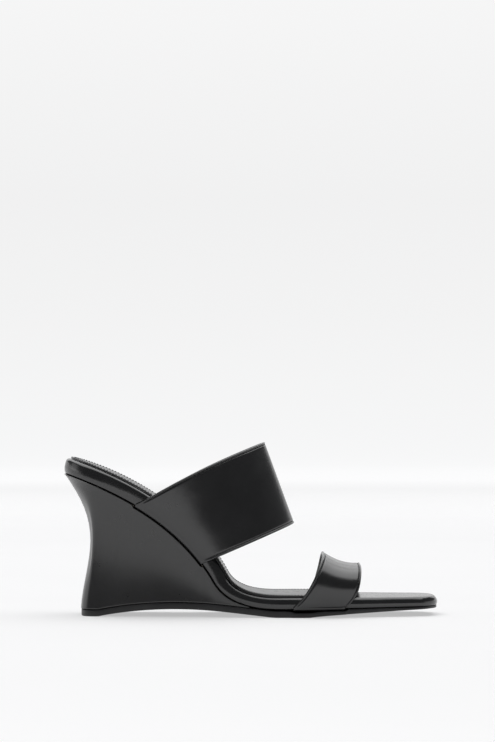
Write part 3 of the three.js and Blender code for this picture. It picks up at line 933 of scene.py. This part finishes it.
class MULE_OT_outsole(Operator):
    """Moulded rubber outsole with a recessed tread panel"""

    bl_idname = "mule.outsole"
    bl_label = "Outsole"

    def execute(self, context):
        recess = context.scene.mule_wedge.tread_recess / MM
        thick = 4.0
        bm = plate(OUTLINE.inset(0.6, 260), thick)
        round_rim(bm, thick, 0.55, 3)
        round_rim(bm, 0, 0.7, 3)
        under = broad_faces(bm, -1)
        inset(bm, under, 3.4)
        inset(bm, under, 0.3)
        for v in under[0].verts:
            v.co.z += recess
        under[0].material_index = 1
        slice_at(bm, 0, steps(0, LAST.length, 3.0))
        slice_at(bm, 1, steps(-39, 39, 6.0))
        narrow = {}

        def width_at(s, sign):
            key = (round(s, 3), sign)
            if key not in narrow:
                edge = max(abs(OUTLINE.edge(sign, s)), 0.01)
                foot = foot_point(s, sign * edge)
                narrow[key] = (foot.x, abs(foot.y) / edge, edge)
            return narrow[key]

        def under_strap(s, sign):
            rear, front = STRAPS["front"].feet[sign]
            return smooth(s, rear - 2.5, rear - 0.2) - smooth(s, front + 0.2, front + 2.5)

        def pocket(s, y, sign, edge):
            """Room for the front strap's turned-in ends."""
            return 1.05 * under_strap(s, sign) * smooth(abs(y), edge - 12.5, edge - 11)

        def where(s, y, z):
            sign = OUTER if y < 0 else INNER
            x, ratio, edge = width_at(clamp(s, 0.3, LAST.length), sign)
            low, high = ground_height(x), sole_top(x)
            up = mix(low, high, z / thick)
            if z > thick / 2:
                up -= min(pocket(s, y, sign, edge), high - low - 1.5)
            # the sole reaches out a little to carry the strap's turned edge
            reach = 1.3 * under_strap(s, sign) * smooth(abs(y), edge - 4, edge - 1)
            return Vector((x, y * ratio + sign * reach, up))

        place_verts(bm, where)
        finish_piece(
            bm, "rubber_outsole", [sole_rubber(), tread_rubber()], ["outsole"]
        )
        return {"FINISHED"}


class MULE_OT_wedge_cover(Operator):
    """Leather skin drawn over the wedge and turned in under the footbed"""

    bl_idname = "mule.wedge_cover"
    bl_label = "Wedge cover"

    def execute(self, context):
        size = context.scene.mule_wedge
        back_waist, side_waist = size.back_waist / MM, size.side_waist / MM
        radius = size.top_radius / MM
        end = WEDGE_END - 0.4
        outer = [p for p in OUTLINE.line if p.x <= end and p.y < 0]
        inner = [p for p in OUTLINE.line if p.x <= end and p.y >= 0]
        tip = [p for p in inner if p.x < 1e-6]
        inner = [p for p in inner if p.x >= 1e-6]
        front = [outer[-1].lerp(inner[0], t / 16) for t in range(1, 16)]
        count = 400
        ring = [p for p, _ in evenly([*tip, *outer, *front, *inner], count=count)]
        # the cover's top edge lies a little inside the footbed's edge
        inward = []
        for k, p in enumerate(ring):
            ahead = ring[(k + 1) % count] - ring[k - 1]
            inward.append(Vector((-ahead.y, ahead.x)).normalized())
        ring = [p + n * 0.6 for p, n in zip(ring, inward)]
        plan = [foot_point(max(p.x, 0.0), p.y) for p in ring]
        facing = []
        for k in range(count):
            ahead = plan[(k + 1) % count] - plan[k - 1]
            facing.append(Vector((ahead.y, -ahead.x)).normalized())

        def strap_room(s, y):
            """How far the cover drops where the rear strap turns in under the footbed."""
            rear, ahead = STRAPS["rear"].feet[OUTER if y < 0 else INNER]
            return 1.15 * (smooth(s, rear - 1.8, rear - 0.3) - smooth(s, ahead + 0.3, ahead + 1.8))

        levels = 16
        rows = [("foot", 0.5, 0.0), ("foot", 0.15, 0.15), ("foot", 0.0, 0.5)]
        rows += [("wall", k / levels, 0) for k in range(levels + 1)]
        turn = [radians(a) for a in (18, 36, 54, 72, 90)]
        rows += [("top", radius * (1 - cos(a)), radius * (1 - sin(a))) for a in turn]
        rows += [("top", radius + 2, 0.0), ("top", radius + 5, 0.0)]

        def where(x, y, z):
            k = round(atan2(y, x) / (2 * pi) * count) % count
            kind, a, b = rows[round(z)]
            p, n, out = ring[k], inward[k], facing[k]
            inside = x * x + y * y < 0.5
            high = bed(p.x, p.y, -CLEARANCE - strap_room(p.x, p.y))
            foot = Vector((plan[k].x, plan[k].y, sole_top(plan[k].x) + CLEARANCE))
            tall = max(high.z - foot.z, 0.05)
            shrink = min(1.0, tall / 3)
            if kind == "top":
                if inside:
                    a, b = max(a, LEATHER), LEATHER
                place = p + n * a
                drop = CLEARANCE + b * shrink + strap_room(p.x, p.y)
                return bed(place.x, place.y, -drop)
            if kind == "foot":
                v, inset = b * shrink / tall, a * shrink
            else:
                v, inset = mix(0.8 * shrink / tall, 1 - (radius + 0.15) * shrink / tall, a), 0.0
            if inside:
                inset = LEATHER
            back = back_waist * (1 - smooth(p.x, 0, SEAT_ROUND))
            side = side_waist * clamp(tall / SEAT_HEIGHT)
            point = foot.lerp(high, v)
            point.x -= out.x * (sin(pi * v**1.3) * back + inset)
            point.y -= out.y * (sin(pi * v) * side + inset)
            return point

        bm = bmesh.new()
        bmesh.ops.create_cone(
            bm, cap_ends=False, segments=count, radius1=1, radius2=1, depth=len(rows) - 1
        )
        bmesh.ops.translate(bm, verts=bm.verts[:], vec=(0, 0, (len(rows) - 1) / 2))
        slice_at(bm, 2, range(1, len(rows) - 1))
        if len(bm.verts) != count * len(rows):
            raise RuntimeError("the wedge cover's rows are not whole")
        bmesh.ops.scale(bm, vec=(0.5, 0.5, 1), verts=doubled(bm))
        place_verts(bm, where)
        finish_piece(bm, "leather_wedge_cover", drawn_calf(), ["wedge_cover"])
        return {"FINISHED"}


class MULE_OT_footbed(Operator):
    """Padded footbed wrapped in leather, turned in underneath"""

    bl_idname = "mule.footbed"
    bl_label = "Padded footbed"

    def execute(self, context):
        size = context.scene.mule_footbed
        thick = size.seat_thickness / MM
        bm = plate(OUTLINE.inset(0, 280), thick)
        round_rim(bm, thick, size.edge_radius / MM, 7)
        round_rim(bm, 0, 0.9, 3)
        under = broad_faces(bm, -1)
        inset(bm, under, 10.1)
        bmesh.ops.delete(bm, geom=under, context="FACES")
        slice_at(bm, 0, steps(0, LAST.length, 2.4))
        slice_at(bm, 1, steps(-39, 39, 5.0))
        slice_at(bm, 2, (1.6, 2.5, 3.5, 4.5, 5.5))
        radius = size.edge_radius / MM

        def where(s, y, z):
            tall = bed_thickness(size, s)
            if z > thick - 0.01:
                return upright_back(s, y, tall - seat_hollow(size, s, y))
            if z < 0.01:
                return upright_back(s, y, 0.0)
            # the padding swells the wall out, most of all a little under half its height
            shoulder = radius * mix(0.8, 1.35, smooth(s, 60, 190))
            up = z * (tall - shoulder) / (thick - radius)
            if z > thick - radius:
                up = tall - (thick - z) * shoulder / radius
            level = up / tall
            low = size.pull_in / MM * max(0.0, 1 - level / 0.42) ** 2
            high = 0.8 * max(0.0, (level - 0.42) / 0.58) ** 2 * clamp((thick - z) / radius)
            s, y = OUTLINE.pulled_in(s, y, low + high)
            return upright_back(s, y, up)

        place_verts(bm, where)
        bmesh.ops.recalc_face_normals(bm, faces=bm.faces[:])
        bm.normal_update()
        inside = {v.co.copy().freeze(): v.normal.copy() for v in bm.verts}
        for v in doubled(bm):
            v.co -= inside[v.co.copy().freeze()] * 0.8 * MM
        piece = finish_piece(
            bm, "leather_footbed_wrap", glazed_calf(), ["footbed_wrap"]
        )
        return {"FINISHED"}


def upright_back(s, y, h):
    """A place in the footbed, whose back wall stands a little more upright than square."""
    return bed(s - 0.13 * h * (1 - smooth(s, 0, 30)), y, h)


def seat_hollow(size, s, y):
    """How far the heel's dish goes down at a place on the footbed."""
    away = ((s - 34) / 24) ** 2 + (y / 15) ** 2
    return size.seat_hollow / MM * exp(-(away**1.5))


class MULE_OT_sock(Operator):
    """Leather sock stuck on the footbed, with a stitched border"""

    bl_idname = "mule.sock"
    bl_label = "Sock and stitching"

    def execute(self, context):
        size = context.scene.mule_footbed
        thick, end = size.sock_thickness / MM, 193.0
        bm = plate(OUTLINE.inset(3.0, 260), thick)
        geom = bm.verts[:] + bm.edges[:] + bm.faces[:]
        bmesh.ops.bisect_plane(
            bm, geom=geom, dist=1e-4, plane_co=(end, 0, 0), plane_no=(1, 0, 0), clear_outer=True
        )
        bmesh.ops.holes_fill(bm, edges=[e for e in bm.edges if e.is_boundary], sides=0)
        corners = [
            e
            for e in bm.edges
            if all(abs(v.co.x - end) < 0.01 for v in e.verts)
            and abs(e.verts[0].co.z - e.verts[1].co.z) > thick / 2
        ]
        bevel(bm, corners, 9, 10)
        round_rim(bm, thick, 0.4, 3)
        top = broad_faces(bm, 1)
        border = []
        for width, sink in ((0.95, 0), (0.35, 0.14), (0.35, 0), (0.35, -0.14)):
            inset(bm, top, width)
            for v in top[0].verts:
                v.co.z -= sink
            border.append([v.co.copy() for v in top[0].verts])
        path = [Vector((a.x, a.y)).lerp(Vector((b.x, b.y)), 0.5) for a, b in zip(*border[1:3])]
        slice_at(bm, 0, steps(0, end, 2.6))
        slice_at(bm, 1, steps(-36, 36, 4.5))

        def lies(s, y, h):
            up = bed_thickness(size, s) + CLEARANCE + h - seat_hollow(size, s, y)
            return upright_back(s, y, up)

        place_verts(bm, lies)
        finish_piece(bm, "leather_sock", sock_leather(), ["sock"])

        bm = bmesh.new()
        for p, along in evenly(path, pitch=1.9):
            a = lies(p.x - along.x * 0.5, p.y - along.y * 0.5, thick)
            b = lies(p.x + along.x * 0.5, p.y + along.y * 0.5, thick)
            c = lies(p.x - along.y * 0.5, p.y + along.x * 0.5, thick)
            d = lies(p.x + along.y * 0.5, p.y - along.x * 0.5, thick)
            out = (b - a).cross(c - d).normalized()
            stitch(bm, (a + b) / 2 + out * 0.06, (b - a).normalized(), out, 1.35, 0.6, 0.6)
        to_metres(bm)
        finish_piece(bm, "sock_stitches", sewing_thread(), ["sock_stitching"], angle=80)
        return {"FINISHED"}


def flat_strap(length_from, length_to, flat_width, thick):
    """A strap ply laid flat: x over its width, y the angle across it, z through it."""
    bm = bmesh.new()
    bmesh.ops.create_grid(bm, x_segments=1, y_segments=1, size=0.5)
    tall = length_to - length_from
    bmesh.ops.scale(bm, vec=(flat_width, tall, 1), verts=bm.verts[:])
    middle = Vector((flat_width / 2, (length_from + length_to) / 2, 0))
    bmesh.ops.translate(bm, verts=bm.verts[:], vec=middle)
    bmesh.ops.translate(bm, verts=doubled(bm), vec=(0, 0, thick))
    return bm


def round_long_edges(bm, flat_width, height, radius, segments):
    found = []
    for e in bm.edges:
        a, b = (v.co for v in e.verts)
        level = abs(a.z - height) < 1e-4 and abs(b.z - height) < 1e-4
        if level and abs(a.y - b.y) > 1 and min(a.x, flat_width - a.x) < 1e-3:
            found.append(e)
    bevel(bm, found, radius, segments)


FLAT_WIDTH = 40.0
EDGE_BAND = 6.0


def edge_distance(x):
    return min(x, FLAT_WIDTH - x)


def width_place(x, width):
    """Where x on the flat strap comes over its real width, from 0 to 1. Near the edges it keeps
    its distance from them."""
    if x < EDGE_BAND:
        return x / width
    if x > FLAT_WIDTH - EDGE_BAND:
        return 1 - (FLAT_WIDTH - x) / width
    t = (x - EDGE_BAND) / (FLAT_WIDTH - 2 * EDGE_BAND)
    return mix(EDGE_BAND / width, 1 - EDGE_BAND / width, t)


def laid_on(form, inset=0.0):
    """A function that lays a flat strap on its form, at a height above the inner face."""
    known = {}

    def width_at(angle):
        key = round(angle, 3)
        if key not in known:
            known[key] = form.width(angle)
        return known[key]

    def lay(x, angle, h):
        wide = width_at(angle)
        b = width_place(x, wide - 2 * inset) * (1 - 2 * inset / wide) + inset / wide
        return form.point(angle, b) + form.out(angle, b) * h

    return lay


def from_foot(angle):
    """The angle up from the nearer foot."""
    return min(angle, 180 - angle)


def ply_lift(angle):
    """Height of the outer ply above the form: on it at the feet, over the lining above."""
    return 1.5 * (1 - (1 - clamp(from_foot(angle) / 9)) ** 2)


def strap_angles(low, high):
    """Where a flat strap is cut across: close together at the feet and at the crest."""
    found = [-17.0, -14.0, -12.0, -10.0, *map(float, range(-8, 7))]
    found += [*map(float, range(8, 82, 2)), *map(float, range(82, 91))]
    both = {a for angle in found for a in (angle, 180 - angle)}
    return sorted(a for a in both if low < a < high)


class MULE_OT_straps(Operator):
    """Both straps: outer leather with folded edges, reinforcing tape and lining"""

    bl_idname = "mule.straps"
    bl_label = "Straps"

    def execute(self, context):
        size = context.scene.mule_straps
        fold, groove = size.fold_width / MM, size.groove_depth / MM
        seam, leather = size.seam_inset / MM, size.leather_thickness / MM
        for side, form in STRAPS.items():
            self.outer_ply(side, form, fold, groove, seam, leather)
            lining, tape = lining_leather(), woven_tape()
            self.inner_ply(side, form, "lining", 6, 0.0, 0.7, 0.5, lining, "lining_leather")
            self.inner_ply(side, form, "tape", 11, 0.9, 0.4, 5.0, tape, "tape")
        return {"FINISHED"}

    def outer_ply(self, side, form, fold, groove, seam, leather):
        thick = leather + 0.62
        bm = flat_strap(-20, 200, FLAT_WIDTH, thick)
        round_long_edges(bm, FLAT_WIDTH, thick, 0.72, 5)
        round_long_edges(bm, FLAT_WIDTH, 0, 0.5, 3)
        near = [seam - 0.55, seam - 0.3, seam - 0.12, seam, seam + 0.12, seam + 0.3, seam + 0.6]
        near += [seam + 1.1, fold - 0.3, fold + 0.3, EDGE_BAND]
        slice_at(bm, 0, near + [FLAT_WIDTH - d for d in near])
        slice_at(bm, 0, steps(EDGE_BAND, FLAT_WIDTH - EDGE_BAND, 2.2))
        slice_at(bm, 1, strap_angles(-20, 200))
        lay = laid_on(form)

        def where(x, angle, z):
            d = edge_distance(x)
            above = from_foot(angle)
            lift = ply_lift(angle)
            folded = 0.62 * (1 - smooth(d, fold - 0.3, fold + 0.3)) * smooth(above, 3, 7)
            h = mix(lift - folded, lift + leather, z / thick)
            if z > thick / 2:
                pulled = groove * smooth(above, 1.5, 4)
                h -= pulled * bell(d - seam, 0.38)
                h += 0.18 * smooth(above, 2, 6) * bell(d - 0.65, 0.5)
            return lay(x, angle, h)

        place_verts(bm, where)
        finish_piece(
            bm, f"{side}_strap_leather", calf_leather(), [f"{side}_strap_outer"], 60
        )

    def inner_ply(self, side, form, part, start, lift, thick, inset, finish, slot):
        bm = flat_strap(start, 180 - start, FLAT_WIDTH, thick)
        round_long_edges(bm, FLAT_WIDTH, 0, thick * 0.4, 2)
        slice_at(bm, 0, steps(0, FLAT_WIDTH, 3.0))
        slice_at(bm, 1, strap_angles(start, 180 - start))
        lay = laid_on(form, inset)
        place_verts(bm, lambda x, angle, z: lay(x, angle, lift + z))
        finish_piece(bm, f"{side}_strap_{part}_ply", finish, [f"{side}_strap_{part}"], 60)


class MULE_OT_strap_seams(Operator):
    """Rows of stitches along both edges of both straps"""

    bl_idname = "mule.strap_seams"
    bl_label = "Strap seams"

    def execute(self, context):
        size = context.scene.mule_straps
        seam, leather = size.seam_inset / MM, size.leather_thickness / MM
        pitch, depth = size.stitch_pitch / MM, size.groove_depth / MM
        for side, form in STRAPS.items():
            for row, x in (("rear", seam), ("front", FLAT_WIDTH - seam)):
                lay = laid_on(form)
                height = leather - depth + 0.12
                angles = [3 + k * 0.5 for k in range(349)]
                path = [lay(x, a, ply_lift(a) + height) for a in angles]
                aside = [lay(x + 0.4, a, ply_lift(a) + height) for a in angles]
                beside = evenly(aside, pitch=pitch, closed=False)
                places = evenly(path, count=len(beside), closed=False)
                bm = bmesh.new()
                for (p, along), (q, _) in zip(places, beside):
                    out = (q - p).cross(along).normalized()
                    if out.dot(p - Vector((p.x, form.shift, p.z - 15))) < 0:
                        out = -out
                    stitch(bm, p, along, out, pitch * 0.76, 0.55, 0.6)
                to_metres(bm)
                name = f"{side}_strap_{row}_stitches"
                stands_for = [f"{side}_strap_{row}_seam"]
                finish_piece(bm, name, sewing_thread(), stands_for, angle=80)
        return {"FINISHED"}


class MULE_OT_inner_parts(Operator):
    """Finishes of the parts inside: core, padding, board, filler, shank and fasteners"""

    bl_idname = "mule.inner_parts"
    bl_label = "Inner parts"

    def execute(self, context):
        kept = {
            "wedge_core": moulded_plastic(),
            "footbed_foam": latex_foam(),
            "insole_board": insole_fibreboard(),
            "bottom_filler": ground_cork(),
            "shank": plain_steel(),
        }
        for name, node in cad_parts.items():
            finish = kept.get(name)
            if name.startswith(("shank_rivet", "wedge_nail", "wedge_screw")):
                finish = plain_steel()
            if finish:
                for k in range(len(node.material_slots)):
                    node.material_slots[k].material = finish
        return {"FINISHED"}


CAMERA_PLACE = (-0.00185, -2.4, 0.1483)  # level with it, the camera looks along Y
LENS = 190.9


class MULE_OT_stage(Operator):
    """Pale floor running up into a low round wall, both partly glowing with painted light,
    softboxes and camera
    """

    bl_idname = "mule.stage"
    bl_label = "Studio"

    def execute(self, context):
        context.scene.view_settings.view_transform = "Standard"
        self.floor(context.scene.mule_studio)
        self.lights(context.scene.mule_studio)
        self.camera(context.scene)
        return {"FINISHED"}

    def floor(self, look):
        bm = bmesh.new()
        profile = [(0, 0), (0.3, 0), (0.8, 0), (1.6, 0), (2.8, 0), (3.8, 0)]
        turn = [radians(a) for a in range(9, 91, 9)]
        profile += [(3.8 + 0.9 * sin(a), 0.9 * (1 - cos(a))) for a in turn]
        profile += [(4.7, 1.15)]
        verts = [bmesh.ops.create_vert(bm, co=(r, 0, z))["vert"][0] for r, z in profile]
        line = [bm.edges.new(pair) for pair in zip(verts, verts[1:])]
        bmesh.ops.spin(
            bm,
            geom=verts + line,
            cent=(0, 0, 0),
            axis=(0, 0, 1),
            angle=2 * pi,
            steps=96,
            use_merge=True,
        )
        bmesh.ops.remove_doubles(bm, verts=bm.verts[:], dist=1e-5)
        bmesh.ops.recalc_face_normals(bm, faces=bm.faces[:])
        if sum(f.normal.z for f in bm.faces) < 0:
            bmesh.ops.reverse_faces(bm, faces=bm.faces[:])
        floor = into_object(bm, "studio_floor")
        paint = Finish("Pale floor", Roughness=0.9, Specular_IOR_Level=0.0, Emission_Strength=1.0)
        # distance from the middle of the light that the top softbox throws on the floor
        from_middle = paint.node(
            "ShaderNodeVectorMath", {"operation": "ADD"}, paint.here, (0.0, -0.75, 0.0)
        )
        flat = paint.node("ShaderNodeVectorMath", {"operation": "MULTIPLY"}, from_middle, (1, 1, 0))
        far = paint.node("ShaderNodeVectorMath", {"operation": "LENGTH"}, flat, output=1)
        away = far.between(2.2, 3.4)
        # makes up for the falling light, so that the floor is evenly pale: painted light, which
        # also lightens the shoe's shadow on the floor
        evened = ((0.0, 0.362), (0.09, 0.382), (0.15, 0.424), (0.2, 0.471), (0.245, 0.522))
        evened += ((0.315, 0.606), (0.39, 0.70), (0.55, 0.825), (0.85, 0.85))
        glow = paint.node(
            "ShaderNodeValToRGB", {"stops": [(d, (v, v, v * 1.004)) for d, v in evened]}, far / 4
        )
        front = paint.node("ShaderNodeSeparateXYZ", None, paint.here, output=1) * -1.0
        front = front.between(0.9, 1.6)
        height = paint.node("ShaderNodeSeparateXYZ", None, paint.here, output=2)
        # painted light: further out the floor and the wall are not lit but glow, a little darker at
        # mid-height of the wall than at its foot and top
        tone = paint.node(
            "ShaderNodeValToRGB",
            {
                "stops": [
                    (0.0, (0.925, 0.928, 0.932)),
                    (0.25, (0.893, 0.893, 0.895)),
                    (0.45, (0.878, 0.878, 0.88)),
                    (0.65, (0.898, 0.898, 0.90)),
                    (0.9, (0.93, 0.93, 0.932)),
                ]
            },
            height,
        )
        # the open side of the stage glows with painted light: a floor brighter than white, which
        # lights the shoe's lower faces like a lamp, and a dim wall that stands in for shade
        open_side_glow = paint.blend(height.between(0.01, 0.15), (1.6, 1.6, 1.6), (0.12, 0.12, 0.123))
        mottle = paint.noise(9.0, 3.0).between(0.2, 0.8) * 0.012 + 0.988
        near_paint = paint.blend(mottle, (0.0, 0.0, 0.0), tuple(look.floor_colour))
        # near the shoe the floor takes light and also glows; further out it is black and only
        # glows, painted light
        paint.feed(
            Base_Color=paint.blend(away, near_paint, (0.0, 0.0, 0.0)),
            Emission_Color=paint.blend(away, glow, paint.blend(front, tone, open_side_glow)),
        )
        floor.data.materials.append(paint.material)

    def softbox(self, name, place, aim, width, depth, power):
        lamp = bpy.data.lights.new(name, "AREA")
        lamp.shape = "RECTANGLE"
        lamp.size, lamp.size_y = width, depth
        lamp.energy = power
        box = bpy.data.objects.new(name, lamp)
        box.location = place
        box.rotation_euler = (Vector(aim) - Vector(place)).to_track_quat("-Z", "Y").to_euler()
        bpy.context.scene.collection.objects.link(box)

    def lights(self, look):
        self.softbox("top_softbox", (0.0, 0.55, 1.2), (0.0, 0.55, 0.0), 2.0, 1.7, look.top_light)
        self.softbox("back_softbox", (0.0, 2.0, 1.05), (0.0, 0.0, 0.0), 2.8, 0.8, look.back_light)
        self.softbox("heel_softbox", (-1.8, 0.2, 0.7), (0.0, 0.0, 0.05), 0.9, 0.9, look.side_light)
        world = bpy.data.worlds.new("room")
        world.use_nodes = True
        back = world.node_tree.nodes["Background"]
        back.inputs["Color"].default_value = (0.96, 0.98, 1.0, 1)
        back.inputs["Strength"].default_value = look.room_light
        bpy.context.scene.world = world

    def camera(self, scene):
        lens = bpy.data.cameras.new("camera")
        lens.sensor_fit = "VERTICAL"
        lens.sensor_height = 36
        lens.lens = LENS
        camera = bpy.data.objects.new("camera", lens)
        camera.location = CAMERA_PLACE
        camera.rotation_euler = (radians(90), 0, 0)
        scene.collection.objects.link(camera)
        scene.camera = camera


class MULE_PT_panel(Panel):
    """Lists the pieces of the mule"""

    bl_idname = "MULE_PT_panel"
    bl_label = "Wedge Mule"
    bl_space_type = "VIEW_3D"
    bl_region_type = "UI"
    bl_category = "Mule"

    def draw(self, context):
        for piece in PIECES:
            self.layout.operator(piece.bl_idname)
        for key in SETTINGS:
            box = self.layout.box()
            group = getattr(context.scene, key)
            for name in group.__annotations__:
                box.prop(group, name)


PIECES = (
    MULE_OT_outsole,
    MULE_OT_wedge_cover,
    MULE_OT_footbed,
    MULE_OT_sock,
    MULE_OT_straps,
    MULE_OT_strap_seams,
    MULE_OT_inner_parts,
    MULE_OT_stage,
)
SETTINGS = {
    "mule_footbed": MuleFootbed,
    "mule_wedge": MuleWedge,
    "mule_straps": MuleStraps,
    "mule_leather": MuleLeather,
    "mule_studio": MuleStudio,
}


def register():
    for group in SETTINGS.values():
        bpy.utils.register_class(group)
    for key, group in SETTINGS.items():
        setattr(bpy.types.Scene, key, PointerProperty(type=group))
    for piece in PIECES:
        bpy.utils.register_class(piece)
    bpy.utils.register_class(MULE_PT_panel)


def unregister():
    bpy.utils.unregister_class(MULE_PT_panel)
    for piece in reversed(PIECES):
        bpy.utils.unregister_class(piece)
    for key, group in SETTINGS.items():
        delattr(bpy.types.Scene, key)
        bpy.utils.unregister_class(group)


def main():
    register()
    bpy.ops.mule.outsole()
    bpy.ops.mule.wedge_cover()
    bpy.ops.mule.footbed()
    bpy.ops.mule.sock()
    bpy.ops.mule.straps()
    bpy.ops.mule.strap_seams()
    bpy.ops.mule.inner_parts()
    bpy.ops.mule.stage()


if __name__ == "__main__":
    main()
